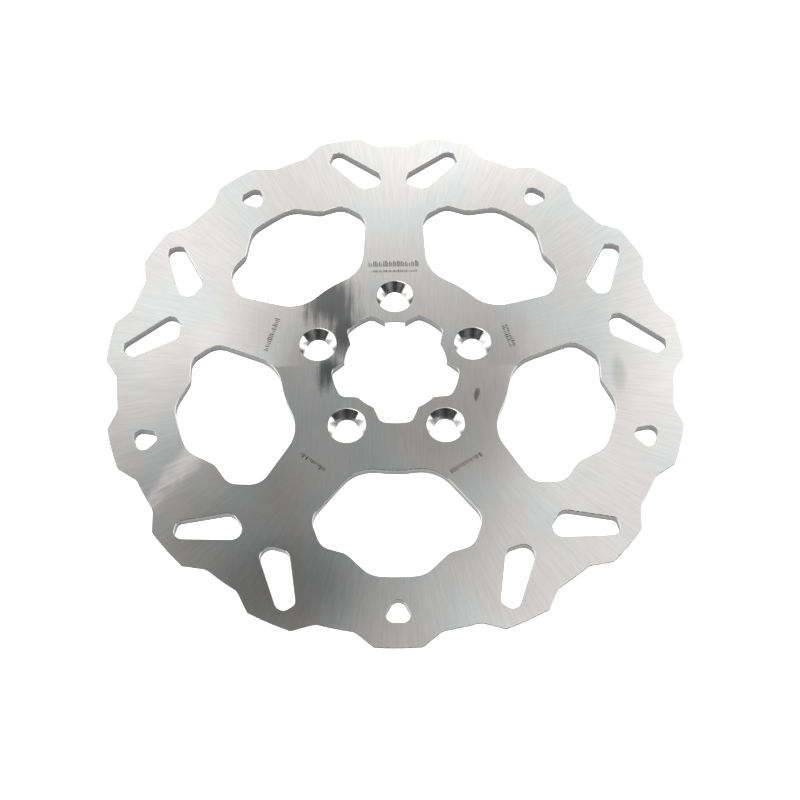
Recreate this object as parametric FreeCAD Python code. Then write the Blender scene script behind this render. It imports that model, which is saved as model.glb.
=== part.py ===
import FreeCAD, Part
import math
import os

# Five-bolt wave brake disc for a motorcycle wheel, cut from one stainless plate.
# The disc lies flat. Z = 0 is the back face, which seats on the hub, and the
# countersinks open upwards in the front face. The origin is on the axis of the
# bolt circle, one bolt hole points along +Y and one window along -Y.

# Plate
THICKNESS = 5.08
EDGE_BREAK = 0.25

# Wavy rim: low lobes on the outer circle, shallow valleys between them
LOBE_COUNT = 15
OUTER_RADIUS = 146.05
VALLEY_RADIUS = 139.7
LOBE_TOP_HALF_ANGLE = 4.4
LOBE_ROOT_HALF_ANGLE = 8.3
LOBE_CORNER_ROUND = 2.5
VALLEY_CORNER_ROUND = 7.0

# Hub: five bolts, five pads that centre the disc on the hub, five pockets between them
SPOKE_COUNT = 5
BOLT_CIRCLE_RADIUS = 41.275
BOLT_HOLE_RADIUS = 5.35
COUNTERSINK_RADIUS = 9.45
COUNTERSINK_ANGLE = 82.0
PAD_RADIUS = 25.7
PAD_HALF_ANGLE = 10.8
PAD_CORNER_ROUND = 1.0
POCKET_RADIUS = 32.1
POCKET_HALF_ANGLE = 14.0
POCKET_CORNER_ROUND = 4.0

# Window between two spokes, half of it: radius, angle off the window's axis, rounding
WINDOW_INNER = (57.9, 18.7, 19.0)
WINDOW_SIDE = (92.0, 26.6, 9.5)
WINDOW_SHOULDER = (102.9, 20.5, 8.5)
WINDOW_NECK = (102.9, 13.6, 8.0)
WINDOW_OUTER = (111.9, 6.6, 13.0)

# Leaning slot in the brake band, one each side of every window
SLOT_CORNERS = [
    (111.1, 27.2, 5.5),
    (115.5, 35.6, 5.1),
    (140.8, 22.85, 4.0),
    (133.2, 20.7, 2.6),
]

# Drop-shaped hole in the brake band, outside every window, narrow end inwards
DROP_TIP_RADIUS = 118.9
DROP_BASE_RADIUS = 134.0
DROP_BASE_HALF_WIDTH = 8.1
DROP_CORNER_ROUND = 3.7

SPOKE_STEP = 360.0 / SPOKE_COUNT
FIRST_WINDOW_ANGLE = 270.0
FIRST_BOLT_ANGLE = 90.0
CUT_MARGIN = 2.0
Z_AXIS = FreeCAD.Vector(0, 0, 1)
CENTRE = FreeCAD.Vector(0, 0, 0)


def polar(radius, angle):
    """A point of the plan view."""
    turn = math.radians(angle)
    return FreeCAD.Vector(radius * math.cos(turn), radius * math.sin(turn), 0)


def line(start, end):
    return Part.LineSegment(start, end).toShape()


def ring_arc(radius, start_angle, end_angle):
    """An arc about the disc's axis."""
    middle = polar(radius, (start_angle + end_angle) / 2)
    return Part.Arc(polar(radius, start_angle), middle, polar(radius, end_angle)).toShape()


def prism(edges, bottom, height):
    """A closed outline in the plan, pulled up into a solid."""
    solid = Part.Face(Part.Wire(edges)).extrude(Z_AXIS * height)
    solid.translate(Z_AXIS * bottom)
    return solid


def round_corners(solid, corners, radius):
    """Round the upright edges that stand over the given plan points."""
    uprights = []
    for edge in solid.Edges:
        foot = edge.Vertexes[0].Point
        head = edge.Vertexes[-1].Point
        if math.hypot(head.x - foot.x, head.y - foot.y) > 0.001:
            continue
        if any(math.hypot(foot.x - c.x, foot.y - c.y) < 0.01 for c in corners):
            uprights.append(edge)
    return solid.makeFillet(radius, uprights)


def lobed_prism(count, top, root, bottom, height):
    """A gear-like outline: arcs on a top and a root circle, joined by straight flanks.
    top and root are (radius, half angle, corner rounding), and one top is on the -Y axis."""
    top_radius, top_half, top_round = top
    root_radius, root_half, root_round = root
    step = 360.0 / count
    edges = []
    tops = []
    roots = []
    for index in range(count):
        middle = FIRST_WINDOW_ANGLE + step * index
        valley = middle + step / 2
        edges.append(ring_arc(top_radius, middle - top_half, middle + top_half))
        edges.append(line(polar(top_radius, middle + top_half), polar(root_radius, valley - root_half)))
        edges.append(ring_arc(root_radius, valley - root_half, valley + root_half))
        edges.append(line(polar(root_radius, valley + root_half), polar(top_radius, middle + step - top_half)))
        tops += [polar(top_radius, middle - top_half), polar(top_radius, middle + top_half)]
        roots += [polar(root_radius, valley - root_half), polar(root_radius, valley + root_half)]
    solid = prism(edges, bottom, height)
    solid = round_corners(solid, tops, top_round)
    return round_corners(solid, roots, root_round)


def window_cutter():
    """The opening between two spokes, about the +X axis."""
    corners = [WINDOW_INNER, WINDOW_SIDE, WINDOW_SHOULDER, WINDOW_NECK, WINDOW_OUTER]
    inner, side, shoulder, neck, outer = [(radius, angle) for radius, angle, _ in corners]
    edges = [ring_arc(outer[0], -outer[1], outer[1]), ring_arc(inner[0], -inner[1], inner[1])]
    for hand in (1, -1):
        edges.append(line(polar(inner[0], hand * inner[1]), polar(side[0], hand * side[1])))
        edges.append(line(polar(side[0], hand * side[1]), polar(shoulder[0], hand * shoulder[1])))
        edges.append(ring_arc(neck[0], hand * shoulder[1], hand * neck[1]))
        edges.append(line(polar(neck[0], hand * neck[1]), polar(outer[0], hand * outer[1])))
    solid = prism(Part.__sortEdges__(edges), -CUT_MARGIN, THICKNESS + 2 * CUT_MARGIN)
    for radius, angle, rounding in corners:
        solid = round_corners(solid, [polar(radius, angle), polar(radius, -angle)], rounding)
    return solid


def polygon_cutter(points, roundings):
    """A straight-sided opening with a rounding of its own at each corner."""
    edges = [line(points[i - 1], points[i]) for i in range(len(points))]
    solid = prism(edges, -CUT_MARGIN, THICKNESS + 2 * CUT_MARGIN)
    for point, rounding in zip(points, roundings):
        solid = round_corners(solid, [point], rounding)
    return solid


def slot_cutter(hand):
    """The leaning slot on one side of the +X axis: hand is 1 or -1."""
    points = [polar(radius, hand * angle) for radius, angle, _ in SLOT_CORNERS]
    return polygon_cutter(points, [rounding for _, _, rounding in SLOT_CORNERS])


def drop_cutter():
    """The drop-shaped hole on the +X axis."""
    points = [
        FreeCAD.Vector(DROP_TIP_RADIUS, 0, 0),
        FreeCAD.Vector(DROP_BASE_RADIUS, DROP_BASE_HALF_WIDTH, 0),
        FreeCAD.Vector(DROP_BASE_RADIUS, -DROP_BASE_HALF_WIDTH, 0),
    ]
    return polygon_cutter(points, [DROP_CORNER_ROUND] * 3)


def bolt_hole_cutter():
    """A through hole with a conical seat for a flat-head bolt, on the +X axis."""
    seat = FreeCAD.Vector(BOLT_CIRCLE_RADIUS, 0, 0)
    slope = math.tan(math.radians(COUNTERSINK_ANGLE / 2))
    depth = (COUNTERSINK_RADIUS - BOLT_HOLE_RADIUS) / slope
    mouth_radius = COUNTERSINK_RADIUS + CUT_MARGIN * slope
    hole = Part.makeCylinder(BOLT_HOLE_RADIUS, THICKNESS + CUT_MARGIN, seat - Z_AXIS * CUT_MARGIN)
    cone_base = seat + Z_AXIS * (THICKNESS - depth)
    cone = Part.makeCone(BOLT_HOLE_RADIUS, mouth_radius, depth + CUT_MARGIN, cone_base)
    return hole.fuse(cone)


def around(cutter, first_angle):
    """Five copies of a cutter, one per spoke or window."""
    copies = []
    for index in range(SPOKE_COUNT):
        copy = cutter.copy()
        copy.rotate(CENTRE, Z_AXIS, first_angle + SPOKE_STEP * index)
        copies.append(copy)
    return copies


def break_edges(solid):
    """Take the sharp arris off every outline in the two faces."""
    outlines = []
    for edge in solid.Edges:
        heights = [vertex.Z for vertex in edge.Vertexes]
        on_back = max(heights) < 0.001
        on_front = min(heights) > THICKNESS - 0.001
        if on_back or on_front:
            outlines.append(edge)
    return solid.makeChamfer(EDGE_BREAK, outlines)


def brake_disc():
    lobe_top = (OUTER_RADIUS, LOBE_TOP_HALF_ANGLE, LOBE_CORNER_ROUND)
    lobe_valley_half = 180.0 / LOBE_COUNT - LOBE_ROOT_HALF_ANGLE
    lobe_root = (VALLEY_RADIUS, lobe_valley_half, VALLEY_CORNER_ROUND)
    plate = lobed_prism(LOBE_COUNT, lobe_top, lobe_root, 0, THICKNESS)

    pocket = (POCKET_RADIUS, POCKET_HALF_ANGLE, POCKET_CORNER_ROUND)
    pad = (PAD_RADIUS, PAD_HALF_ANGLE, PAD_CORNER_ROUND)
    centre = lobed_prism(SPOKE_COUNT, pocket, pad, -CUT_MARGIN, THICKNESS + 2 * CUT_MARGIN)

    openings = [centre]
    for cutter in (window_cutter(), slot_cutter(1), slot_cutter(-1)):
        openings += around(cutter, FIRST_WINDOW_ANGLE)
    disc = break_edges(plate.cut(openings))

    # The small holes keep their crisp mouths
    small_holes = around(drop_cutter(), FIRST_WINDOW_ANGLE)
    small_holes += around(bolt_hole_cutter(), FIRST_BOLT_ANGLE)
    return disc.cut(small_holes)


os.makedirs("parts", exist_ok=True)
brake_disc().exportStep("parts/brake_disc.step")
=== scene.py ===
import math
import bpy
from mathutils import Matrix, Vector


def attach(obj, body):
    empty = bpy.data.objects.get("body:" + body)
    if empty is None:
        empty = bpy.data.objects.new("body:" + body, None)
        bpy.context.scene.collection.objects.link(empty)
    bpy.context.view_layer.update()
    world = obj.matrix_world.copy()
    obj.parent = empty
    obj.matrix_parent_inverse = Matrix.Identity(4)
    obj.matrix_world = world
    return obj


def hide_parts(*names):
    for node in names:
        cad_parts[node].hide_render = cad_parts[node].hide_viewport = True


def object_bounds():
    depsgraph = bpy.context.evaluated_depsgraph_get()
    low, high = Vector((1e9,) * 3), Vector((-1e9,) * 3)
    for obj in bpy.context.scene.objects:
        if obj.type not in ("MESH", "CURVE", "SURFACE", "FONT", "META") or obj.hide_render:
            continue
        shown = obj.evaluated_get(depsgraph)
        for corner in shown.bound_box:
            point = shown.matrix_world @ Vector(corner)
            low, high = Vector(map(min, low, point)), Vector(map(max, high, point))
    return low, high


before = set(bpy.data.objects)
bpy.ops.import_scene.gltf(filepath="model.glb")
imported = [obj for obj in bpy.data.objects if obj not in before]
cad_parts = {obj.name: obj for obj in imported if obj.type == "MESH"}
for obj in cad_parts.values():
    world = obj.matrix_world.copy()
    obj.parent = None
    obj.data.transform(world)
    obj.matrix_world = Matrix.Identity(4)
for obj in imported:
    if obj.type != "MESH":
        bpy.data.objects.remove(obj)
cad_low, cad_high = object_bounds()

# Brake disc, the plate: one piece of stainless steel, laser-cut to its wavy outline and
# its openings, then ground flat on both faces. The arrises of the large outlines are
# broken in the plate itself, and the small holes get theirs here.
MM = 0.001
front = cad_high.z
bolt_circle_radius = 41.275 * MM
seat_radius = 9.45 * MM
drop_hole_radius = 128.5 * MM
drop_hole_reach = 11 * MM
small_arris = 0.12 * MM
weld_distance = 0.001 * MM
spoke_angles = [90 + 72 * index for index in range(5)]
window_angles = [270 + 72 * index for index in range(5)]


def on_disc(radius, angle):
    """A point of the back face, from its distance and its direction off the disc's axis."""
    turn = math.radians(angle)
    return Vector((radius * math.cos(turn), radius * math.sin(turn), 0))


bolt_seats = [on_disc(bolt_circle_radius, angle) for angle in spoke_angles]
drop_holes = [on_disc(drop_hole_radius, angle) for angle in window_angles]


def in_plan(point):
    return Vector((point.x, point.y, 0))


def reach_from(places, point):
    """The distance in plan to the nearest of some places."""
    return min((in_plan(point) - place).length for place in places)


disc = bpy.data.objects.new("wave_brake_disc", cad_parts["brake_disc"].data.copy())
bpy.context.scene.collection.objects.link(disc)
disc.data.materials.clear()
bpy.ops.object.select_all(action="DESELECT")
disc.select_set(True)
bpy.context.view_layer.objects.active = disc
bpy.ops.object.mode_set(mode="EDIT")
bpy.ops.mesh.select_all(action="SELECT")
bpy.ops.mesh.remove_doubles(threshold=weld_distance)
bpy.ops.mesh.customdata_custom_splitnormals_clear()
bpy.ops.mesh.dissolve_limited(angle_limit=math.radians(0.5))
bpy.ops.mesh.select_all(action="DESELECT")
bpy.ops.object.mode_set(mode="OBJECT")

for edge in disc.data.edges:
    start, end = [disc.data.vertices[index].co for index in edge.vertices]
    middle = (start + end) / 2
    level = abs(start.z - end.z) < weld_distance
    in_face = level and (middle.z < 0.01 * MM or middle.z > front - 0.01 * MM)
    by_drop = reach_from(drop_holes, middle) < drop_hole_reach
    by_bolt = reach_from(bolt_seats, middle) < seat_radius + 0.1 * MM
    edge.select = in_face and (by_drop or by_bolt)
bpy.ops.object.mode_set(mode="EDIT")
bpy.ops.mesh.bevel(offset=small_arris, segments=1, affect="EDGES")
bpy.ops.object.mode_set(mode="OBJECT")
bpy.ops.object.shade_smooth_by_angle(angle=math.radians(30))

# Brake disc, the finishes: the ground faces, the laser-cut walls of the openings, the
# bright wavy rim, the bored walls of the hub, the turned bolt seats and the broken
# arrises each show their own tool marks, so each is a steel of its own. The walls of the
# openings also carry painted shade, which makes them far darker than the rim.
rim_valley_radius = 139.7 * MM
pad_radius = 25.7 * MM
FINISHES = ["ground_face", "laser_cut_wall_painted_shade", "wavy_rim", "bored_wall", "turned_seat", "broken_arris"]

seat_place = disc.data.attributes.new("seat_place", "FLOAT_VECTOR", "POINT")
for vertex in disc.data.vertices:
    seat = min(bolt_seats, key=lambda place: (in_plan(vertex.co) - place).length)
    seat_place.data[vertex.index].vector = in_plan(vertex.co) - seat

for face in disc.data.polygons:
    radius = in_plan(face.center).length
    outwards = face.normal.dot(in_plan(face.center).normalized())
    from_seat = reach_from(bolt_seats, face.center)
    slope = abs(face.normal.z)
    if slope > 0.99:
        finish = "ground_face"
    elif slope > 0.6 and from_seat < seat_radius - small_arris / 2 and face.center.z > 0.2 * MM:
        finish = "turned_seat"
    elif slope > 0.1:
        finish = "broken_arris"
    elif radius > rim_valley_radius - 2 * MM and outwards > 0.2:
        finish = "wavy_rim"
    elif radius < pad_radius + 0.5 * MM or from_seat < seat_radius:
        finish = "bored_wall"
    else:
        finish = "laser_cut_wall_painted_shade"
    face.material_index = FINISHES.index(finish)
    face.use_smooth = finish not in ("ground_face", "broken_arris")


def new_steel(name, anisotropy):
    """A metal, its shader, and the functions that add nodes to it."""
    steel = bpy.data.materials.new(name)
    steel.use_nodes = True
    tree = steel.node_tree
    shader = tree.nodes["Principled BSDF"]
    shader.inputs["Metallic"].default_value = 1.0
    shader.inputs["Anisotropic"].default_value = anisotropy
    disc.data.materials.append(steel)

    def feed(made, inputs):
        for key, value in inputs.items():
            if isinstance(value, bpy.types.NodeSocket):
                tree.links.new(value, made.inputs[key])
            else:
                made.inputs[key].default_value = value

    def add(kind, inputs, **settings):
        made = tree.nodes.new("ShaderNode" + kind)
        for setting, value in settings.items():
            setattr(made, setting, value)
        feed(made, inputs)
        return made

    return shader, feed, add


def calc(add, operation, *values):
    return add("Math", dict(enumerate(values)), operation=operation).outputs[0]


def vector(add, operation, *values):
    made = add("VectorMath", dict(enumerate(values)), operation=operation)
    return made.outputs["Value" if operation == "LENGTH" else "Vector"]


def blend(add, factor, low, high):
    """A number that goes from low to high as the factor goes from 0 to 1."""
    return add("Mix", {0: factor, 2: low, 3: high}, data_type="FLOAT").outputs[0]


def tint(add, factor, low, high):
    """A colour that goes from low to high as the factor goes from 0 to 1."""
    return add("Mix", {0: factor, 6: low, 7: high}, data_type="RGBA").outputs[2]


def ramp(add, value, low, high, kind="SMOOTHSTEP"):
    """0 up to low, 1 from high on."""
    inputs = {"Value": value, "From Min": low, "From Max": high}
    return add("MapRange", inputs, interpolation_type=kind).outputs["Result"]


def noise(add, place, scale, detail, roughness=0.55):
    inputs = {"Vector": place, "Scale": scale, "Detail": detail, "Roughness": roughness}
    return add("TexNoise", inputs).outputs["Fac"]


def bump(add, height, strength, distance):
    return add("Bump", {"Strength": strength, "Distance": distance, "Height": height}).outputs[0]


# The ground faces: the grinding lines run straight across the hub and fan out towards the
# rim. Painted dark reflections by the hub and low on the left, a painted highlight streak
# on the left, two small darker spots and rows of short etched strokes that mark the five
# spokes are laid into the colour. The painted reflections by the hub and the dot beside
# them are also glossier.
shader, feed, add = new_steel("ground_face_steel", 0.74)
place = add("TexCoord", {}).outputs["Object"]
plan_place = vector(add, "MULTIPLY", place, (1, 1, 0))
outward = vector(add, "NORMALIZE", plan_place)
from_axis = vector(add, "LENGTH", plan_place)
fanned = ramp(add, from_axis, 45 * MM, 105 * MM, "LINEAR")

around = vector(add, "CROSS_PRODUCT", (0, 0, 1), outward)
hand = calc(add, "SIGN", add("SeparateXYZ", {0: around}).outputs["X"])
rightward = add("VectorMath", {0: around, "Scale": hand}, operation="SCALE").outputs[0]
across = add("Mix", {0: fanned, 4: (1, 0, 0), 5: rightward}, data_type="VECTOR").outputs[1]
feed(shader, {"Tangent": vector(add, "NORMALIZE", across)})

fan_lines = vector(add, "MULTIPLY", outward, (110, 110, 0))
fan_depth = add("CombineXYZ", {"Z": calc(add, "MULTIPLY", from_axis, 60)}).outputs[0]
fan_place = vector(add, "ADD", fan_lines, fan_depth)
straight_place = vector(add, "MULTIPLY", place, (900, 60, 0))
fan_noise = noise(add, fan_place, 1, 4, 0.7)
straight_noise = noise(add, straight_place, 1, 4, 0.7)
lines = blend(add, fanned, straight_noise, fan_noise)

streaks = noise(add, vector(add, "MULTIPLY", place, (420, 22, 0)), 1, 4)
cloud = noise(add, place, 70, 2)
ragged = calc(add, "ADD", calc(add, "MULTIPLY", streaks, 1.3), calc(add, "MULTIPLY", cloud, 0.9))


def soft_oval_masks(add, raggedness, spots):
    """Soft ovals: each has a middle, half width and half height in mm, a turn in degrees
    and a strength."""
    worn = 0.0
    for x, y, half_width, half_height, turn, strength in spots:
        from_spot = vector(add, "SUBTRACT", plan_place, (x * MM, y * MM, 0))
        straightened = {"Vector": from_spot, "Angle": math.radians(-turn)}
        from_spot = add("VectorRotate", straightened, rotation_type="Z_AXIS").outputs[0]
        squeeze = (1 / (half_width * MM), 1 / (half_height * MM), 0)
        oval = vector(add, "LENGTH", vector(add, "MULTIPLY", from_spot, squeeze))
        reach = calc(add, "MULTIPLY_ADD", calc(add, "SUBTRACT", ragged, 1.1), raggedness, oval)
        inside = calc(add, "SUBTRACT", 1.0, ramp(add, reach, 0.3, 1.3))
        worn = calc(add, "MAXIMUM", calc(add, "MULTIPLY", inside, strength), worn)
    return worn


# Painted dark reflection by the hub in the first three spots; the last is a small darker dot to the
# right of the hub. All of them are also glossier.
painted_reflection_and_dot_spots = [
    (-33, 38, 15, 22, 14, 1.0),
    (-26, 20, 7, 17, 0, 1.0),
    (-34, -2, 6, 11, 0, 0.95),
    (40, -17, 1.6, 4, -15, 0.7),
]
# A small darker patch on the right, the first, and a painted dark reflection low on the left, the
# second.
painted_reflection_and_patch_spots = [
    (112, -5, 4, 11, 0, 0.4),
    (-52, -118, 36, 26, 0, 0.55),
]
# Painted highlight: a light, warm streak on the left of the face, broken up along the grinding
# lines, and rougher there.
painted_highlight_spots = [
    (-103, -54, 6, 20, -40, 0.8),
    (-116, -72, 4, 16, -25, 0.6),
]
depth = add("SeparateXYZ", {0: place}).outputs["Z"]
on_front = calc(add, "GREATER_THAN", depth, front / 2)
painted_reflection_and_dot = calc(add, "MULTIPLY", soft_oval_masks(add, 1.0, painted_reflection_and_dot_spots), on_front)
painted_reflection_and_patch = calc(add, "MULTIPLY", soft_oval_masks(add, 0.3, painted_reflection_and_patch_spots), on_front)
highlight_streaks = ramp(add, fan_noise, 0.25, 0.65)
painted_highlight = calc(add, "MULTIPLY", soft_oval_masks(add, 0.8, painted_highlight_spots), highlight_streaks)
painted_highlight = calc(add, "MULTIPLY", painted_highlight, on_front)

stroke_pitch = 1.05 * MM
etched_rows = [
    # spoke angle, distance from the axis, length, height and height of a row in mm
    (90.5, 61.8, 26.5, 4.4, 4.4),
    (90.5, 57.0, 24.0, 1.8, 1.8),
    (163.5, 66.0, 20.0, 3.2, 3.2),
    (232.5, 67.0, 15.0, 2.6, 2.6),
    (302.0, 64.0, 18.0, 2.8, 2.8),
    (16.5, 60.5, 13.0, 3.8, 1.9),
]
etched = 0.0
for angle, distance, length, height, row_height in etched_rows:
    upright = {"Vector": plan_place, "Angle": math.radians(90 - angle)}
    turned = add("VectorRotate", upright, rotation_type="Z_AXIS").outputs[0]
    along, up = add("SeparateXYZ", {0: turned}).outputs[:2]
    above = calc(add, "SUBTRACT", up, distance * MM)
    row = calc(add, "DIVIDE", calc(add, "ADD", above, height / 2 * MM), row_height * MM)
    column = calc(add, "DIVIDE", along, stroke_pitch)
    row_seed = calc(add, "MULTIPLY", calc(add, "FLOOR", row), 31.7)
    seed = calc(add, "ADD", calc(add, "ADD", row_seed, calc(add, "FLOOR", column)), angle)
    chance = add("TexWhiteNoise", {"W": seed}, noise_dimensions="1D").outputs["Value"]
    width = calc(add, "MULTIPLY_ADD", chance, 0.3, 0.3)
    top = calc(add, "MULTIPLY_ADD", chance, 0.45, 0.45)
    stroke = calc(add, "LESS_THAN", calc(add, "FRACT", column), width)
    stroke = calc(add, "MULTIPLY", stroke, calc(add, "LESS_THAN", calc(add, "FRACT", row), top))
    in_length = calc(add, "LESS_THAN", calc(add, "ABSOLUTE", along), length / 2 * MM)
    in_height = calc(add, "LESS_THAN", calc(add, "ABSOLUTE", above), height / 2 * MM)
    stroke = calc(add, "MULTIPLY", stroke, calc(add, "MULTIPLY", in_length, in_height))
    stroke = calc(add, "MULTIPLY", stroke, on_front)
    etched = calc(add, "MAXIMUM", stroke, etched)

cool_steel, warm_steel = (0.625, 0.645, 0.64, 1), (0.66, 0.64, 0.62, 1)
metal = tint(add, ramp(add, noise(add, place, 24, 2), 0.35, 0.65), cool_steel, warm_steel)
brushed = tint(add, ramp(add, lines, 0.3, 0.7), (0.93, 0.93, 0.93, 1), (1.04, 1.04, 1.04, 1))
metal = vector(add, "MULTIPLY", metal, brushed)
# Painted dark reflection by the hub, and one small darker dot, laid into the colour.
metal = tint(add, calc(add, "MULTIPLY", painted_reflection_and_dot, 0.8), metal, (0.13, 0.135, 0.14, 1))
# Painted dark reflection low on the left, and a small darker patch on the right, halve the colour
# here.
metal = tint(add, painted_reflection_and_patch, metal, vector(add, "MULTIPLY", metal, (0.5, 0.5, 0.5)))
# Painted highlight: a lighter, warm streak on the left.
metal = tint(add, painted_highlight, metal, (0.82, 0.72, 0.68, 1))
metal = tint(add, etched, metal, (0.10, 0.085, 0.07, 1))
gloss = blend(add, noise(add, place, 38, 3), 0.265, 0.315)
gloss = blend(add, painted_reflection_and_dot, gloss, 0.19)
gloss = blend(add, painted_highlight, gloss, 0.42)
gloss = blend(add, etched, gloss, 0.5)
feed(shader, {"Base Color": metal, "Roughness": gloss})
feed(shader, {"Normal": bump(add, lines, 0.2, 0.02 * MM)})

# The laser-cut walls: painted shade makes them a dark grey, far darker than the rim,
# with fine upright striations, smoother towards the face where the beam went in and
# rougher where the melt left.
shader, feed, add = new_steel("laser_cut_steel_painted_shade", 0.0)
place = add("TexCoord", {}).outputs["Object"]
depth = add("SeparateXYZ", {0: place}).outputs["Z"]
striations = noise(add, vector(add, "MULTIPLY", place, (1, 1, 0.08)), 2600, 3)
entry = ramp(add, depth, 0.3 * front, 0.75 * front)
# Painted shade: a dark grey on the walls of the openings, far darker than the rim.
painted_shade_skin = tint(add, striations, (0.085, 0.088, 0.09, 1), (0.17, 0.17, 0.165, 1))
painted_shade_skin = tint(add, calc(add, "MULTIPLY", entry, 0.25), painted_shade_skin, (0.24, 0.24, 0.235, 1))
melt = calc(add, "MULTIPLY", striations, blend(add, entry, 1.0, 0.5))
feed(shader, {"Base Color": painted_shade_skin, "Roughness": blend(add, striations, 0.34, 0.5)})
feed(shader, {"Normal": bump(add, melt, 0.5, 0.03 * MM)})

# The wavy rim: cut the same way, with fine level lines all the way round, and left at
# the plain steel tone, without the painted shade of the walls of the openings.
shader, feed, add = new_steel("rim_steel", 0.0)
place = add("TexCoord", {}).outputs["Object"]
belt_lines = noise(add, vector(add, "MULTIPLY", place, (0.15, 0.15, 1)), 3500, 3)
metal = tint(add, noise(add, place, 60, 2), (0.60, 0.605, 0.60, 1), (0.70, 0.695, 0.68, 1))
metal = tint(add, calc(add, "MULTIPLY", belt_lines, 0.4), metal, (0.48, 0.48, 0.48, 1))
feed(shader, {"Base Color": metal, "Roughness": blend(add, belt_lines, 0.24, 0.40)})
feed(shader, {"Normal": bump(add, belt_lines, 0.3, 0.02 * MM)})

# The bored walls: the five hub pads and the bolt holes, with the fine level rings that
# the cutter left.
shader, feed, add = new_steel("bored_steel", 0.0)
place = add("TexCoord", {}).outputs["Object"]
rings = noise(add, vector(add, "MULTIPLY", place, (0.03, 0.03, 1)), 6000, 2)
feed(shader, {"Base Color": tint(add, rings, (0.58, 0.58, 0.575, 1), (0.70, 0.70, 0.69, 1))})
feed(shader, {"Roughness": blend(add, rings, 0.18, 0.32)})
feed(shader, {"Normal": bump(add, rings, 0.25, 0.01 * MM)})

# The bolt seats: cones turned with a countersink, whose rings make them mirror in wedges.
shader, feed, add = new_steel("turned_seat_steel", 0.6)
from_bolt = add("Attribute", {}, attribute_name="seat_place").outputs["Vector"]
ring_depth = calc(add, "MULTIPLY", vector(add, "LENGTH", from_bolt), 4500)
rings = noise(add, add("CombineXYZ", {"X": ring_depth}).outputs[0], 1, 3)
feed(shader, {"Tangent": vector(add, "NORMALIZE", from_bolt)})
feed(shader, {"Base Color": tint(add, rings, (0.50, 0.50, 0.50, 1), (0.74, 0.74, 0.73, 1))})
feed(shader, {"Roughness": blend(add, rings, 0.10, 0.16)})
feed(shader, {"Normal": bump(add, rings, 0.15, 0.01 * MM)})

# The broken arrises: a narrow band rubbed bright by the deburring brush, with small nicks.
shader, feed, add = new_steel("brushed_arris_steel", 0.0)
place = add("TexCoord", {}).outputs["Object"]
nicks = noise(add, place, 900, 4, 0.65)
feed(shader, {"Base Color": tint(add, nicks, (0.54, 0.54, 0.54, 1), (0.74, 0.74, 0.73, 1))})
feed(shader, {"Roughness": blend(add, nicks, 0.18, 0.34)})
feed(shader, {"Normal": bump(add, nicks, 0.3, 0.03 * MM)})

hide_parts("brake_disc")
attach(disc, "root")

# Table: a lit white table top, so that nothing beside the disc falls into shade. It is
# dimmer where the disc lies on it, and it can be seen through from below.
bpy.ops.object.select_all(action="DESELECT")
bpy.ops.mesh.primitive_plane_add(size=40, location=(0, 0, -0.2 * MM))
table = bpy.context.active_object
table.name = "white_table"
table_top = bpy.data.materials.new("lit_white_table")
table_top.use_nodes = True
nodes, links = table_top.node_tree.nodes, table_top.node_tree.links
matt_white = nodes["Principled BSDF"]
matt_white.inputs["Base Color"].default_value = (0.9, 0.9, 0.9, 1)
matt_white.inputs["Roughness"].default_value = 0.9
matt_white.inputs["Specular IOR Level"].default_value = 0.0
matt_white.inputs["Emission Color"].default_value = (1, 1, 1, 1)
lit_glow = 0.95
shaded_glow = 0.35
contact_reach = 0.8 * MM
ray_length = nodes.new("ShaderNodeLightPath").outputs["Ray Length"]
touching = nodes.new("ShaderNodeMath")
touching.operation = "LESS_THAN"
touching.inputs[1].default_value = contact_reach
links.new(ray_length, touching.inputs[0])
glow = nodes.new("ShaderNodeMix")
glow.inputs[2].default_value = lit_glow
glow.inputs[3].default_value = shaded_glow
links.new(touching.outputs[0], glow.inputs[0])
links.new(glow.outputs[0], matt_white.inputs["Emission Strength"])
clear = nodes.new("ShaderNodeBsdfTransparent")
side = nodes.new("ShaderNodeNewGeometry")
either = nodes.new("ShaderNodeMixShader")
links.new(side.outputs["Backfacing"], either.inputs["Fac"])
links.new(matt_white.outputs[0], either.inputs[1])
links.new(clear.outputs[0], either.inputs[2])
links.new(either.outputs[0], nodes["Material Output"].inputs["Surface"])
table.data.materials.append(table_top)

# Studio: five soft lights overhead and behind and two in front, pale walls at the sides
# and the back, and a dark end in front. The camera itself sees a white backdrop.
# A strength is what the steel shows of a light, and the steel gives back only this share.
steel_share = 0.67
# The first five lights are the rounded result of a least-squares fit to the tones of the
# face, made by another program. The last two were set by hand.
soft_lights = [
    # azimuth, elevation, half width, strength
    (-166, 74, 10.5, 6.6),
    (172, 54, 11, 6.6),
    (53, 65, 5, 2.2),
    (98, 44, 11, 1.8),
    (68, 47, 5.5, 4.7),
    (305, 50, 15, 3.2),
    (235, 50, 14, 3),
]
dark_end_azimuth = 280
dark_end_half_width = 68
dark_end_strength = 0.05
wall_top = 20
wall_strength = 2.2

studio = bpy.data.worlds.new("studio")
bpy.context.scene.world = studio
studio.use_nodes = True
nodes, links = studio.node_tree.nodes, studio.node_tree.links
ray_direction = nodes.new("ShaderNodeTexCoord").outputs["Generated"]


def studio_math(operation, *values):
    made = nodes.new("ShaderNodeMath")
    made.operation = operation
    for index, value in enumerate(values):
        if isinstance(value, bpy.types.NodeSocket):
            links.new(value, made.inputs[index])
        else:
            made.inputs[index].default_value = value
    return made.outputs[0]


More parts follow.
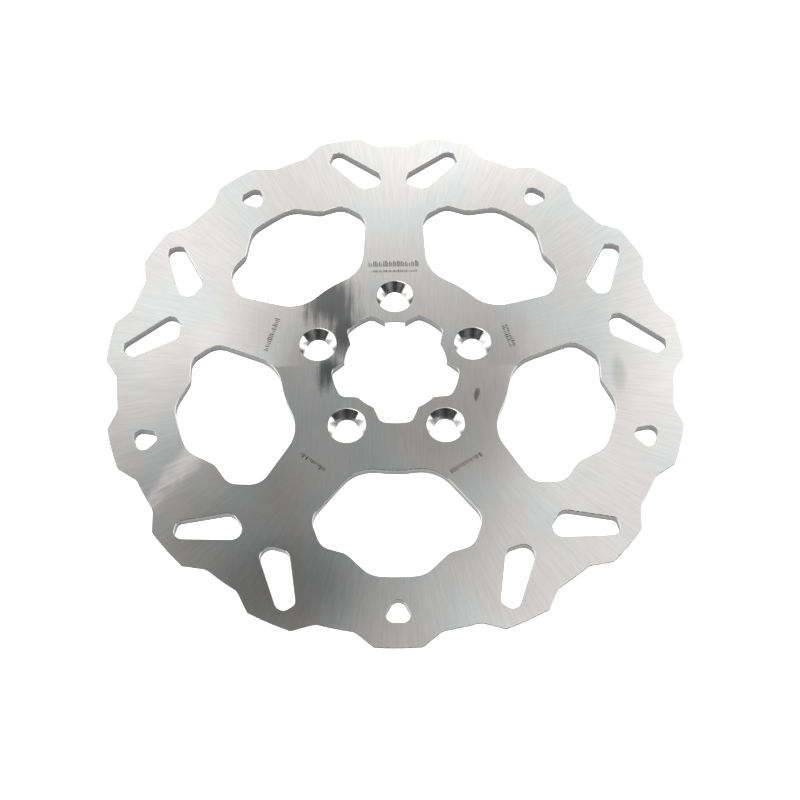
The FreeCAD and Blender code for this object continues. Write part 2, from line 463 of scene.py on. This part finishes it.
def studio_facing(azimuth, elevation):
    """The cosine between a ray and a direction in the room."""
    turn, tilt = math.radians(azimuth), math.radians(elevation)
    made = nodes.new("ShaderNodeVectorMath")
    made.operation = "DOT_PRODUCT"
    links.new(ray_direction, made.inputs[0])
    level = math.cos(tilt)
    towards = (math.cos(turn) * level, math.sin(turn) * level, math.sin(tilt))
    made.inputs[1].default_value = towards
    return made.outputs["Value"]


def studio_step(value, low, high):
    """0 up to low, 1 from high on."""
    made = nodes.new("ShaderNodeMapRange")
    made.interpolation_type = "SMOOTHSTEP"
    links.new(value, made.inputs["Value"])
    made.inputs["From Min"].default_value = low
    made.inputs["From Max"].default_value = high
    return made.outputs["Result"]


light = 0.01
for azimuth, elevation, half_width, strength in soft_lights:
    sharpness = 1 / (1 - math.cos(math.radians(half_width)))
    facing = studio_facing(azimuth, elevation)
    glow = studio_math("EXPONENT", studio_math("MULTIPLY_ADD", facing, sharpness, -sharpness))
    light = studio_math("MULTIPLY_ADD", glow, strength / steel_share, light)

upwards = studio_facing(0, 90)
upwards_squared = studio_math("MULTIPLY", upwards, upwards)
level_part = studio_math("SQRT", studio_math("SUBTRACT", 1.0001, upwards_squared))
ahead = studio_math("DIVIDE", studio_facing(dark_end_azimuth, 0), level_part)
dark_edge = math.cos(math.radians(dark_end_half_width))
lit_side = studio_math("SUBTRACT", 1.0, studio_step(ahead, dark_edge - 0.06, dark_edge + 0.06))
wall_edge = math.sin(math.radians(wall_top))
low_down = studio_math("SUBTRACT", 1.0, studio_step(upwards, wall_edge - 0.12, wall_edge + 0.12))
brighter = wall_strength - dark_end_strength
walls = studio_math("MULTIPLY_ADD", lit_side, brighter, dark_end_strength)
light = studio_math("MULTIPLY_ADD", walls, low_down, light)

room = nodes["Background"]
links.new(light, room.inputs["Color"])
backdrop = nodes.new("ShaderNodeBackground")
backdrop.inputs["Color"].default_value = (1, 1, 1, 1)
seen = nodes.new("ShaderNodeMixShader")
links.new(nodes.new("ShaderNodeLightPath").outputs["Is Camera Ray"], seen.inputs["Fac"])
links.new(room.outputs[0], seen.inputs[1])
links.new(backdrop.outputs[0], seen.inputs[2])
links.new(seen.outputs[0], nodes["World Output"].inputs["Surface"])

# Camera: high over the disc and a little in front of it. Its place, its turn and its lens
# were solved by least squares from outlines that repeat five times round the disc.
camera_place = (-3.05 * MM, -319.6 * MM, 574.3 * MM)
camera_azimuth = math.radians(-0.97)
camera_elevation = math.radians(62.2)
camera_roll = math.radians(0.38)
focal_length = 58.38
bpy.ops.object.camera_add(location=camera_place)
camera = bpy.context.active_object
around_z = Matrix.Rotation(camera_azimuth, 4, "Z")
tipped = Matrix.Rotation(math.pi / 2 - camera_elevation, 4, "X")
rolled = Matrix.Rotation(camera_roll, 4, "Z")
camera.rotation_euler = (around_z @ tipped @ rolled).to_euler()
camera.data.lens = focal_length
camera.data.sensor_width = 36
bpy.context.scene.camera = camera
bpy.context.scene.view_settings.view_transform = "Standard"
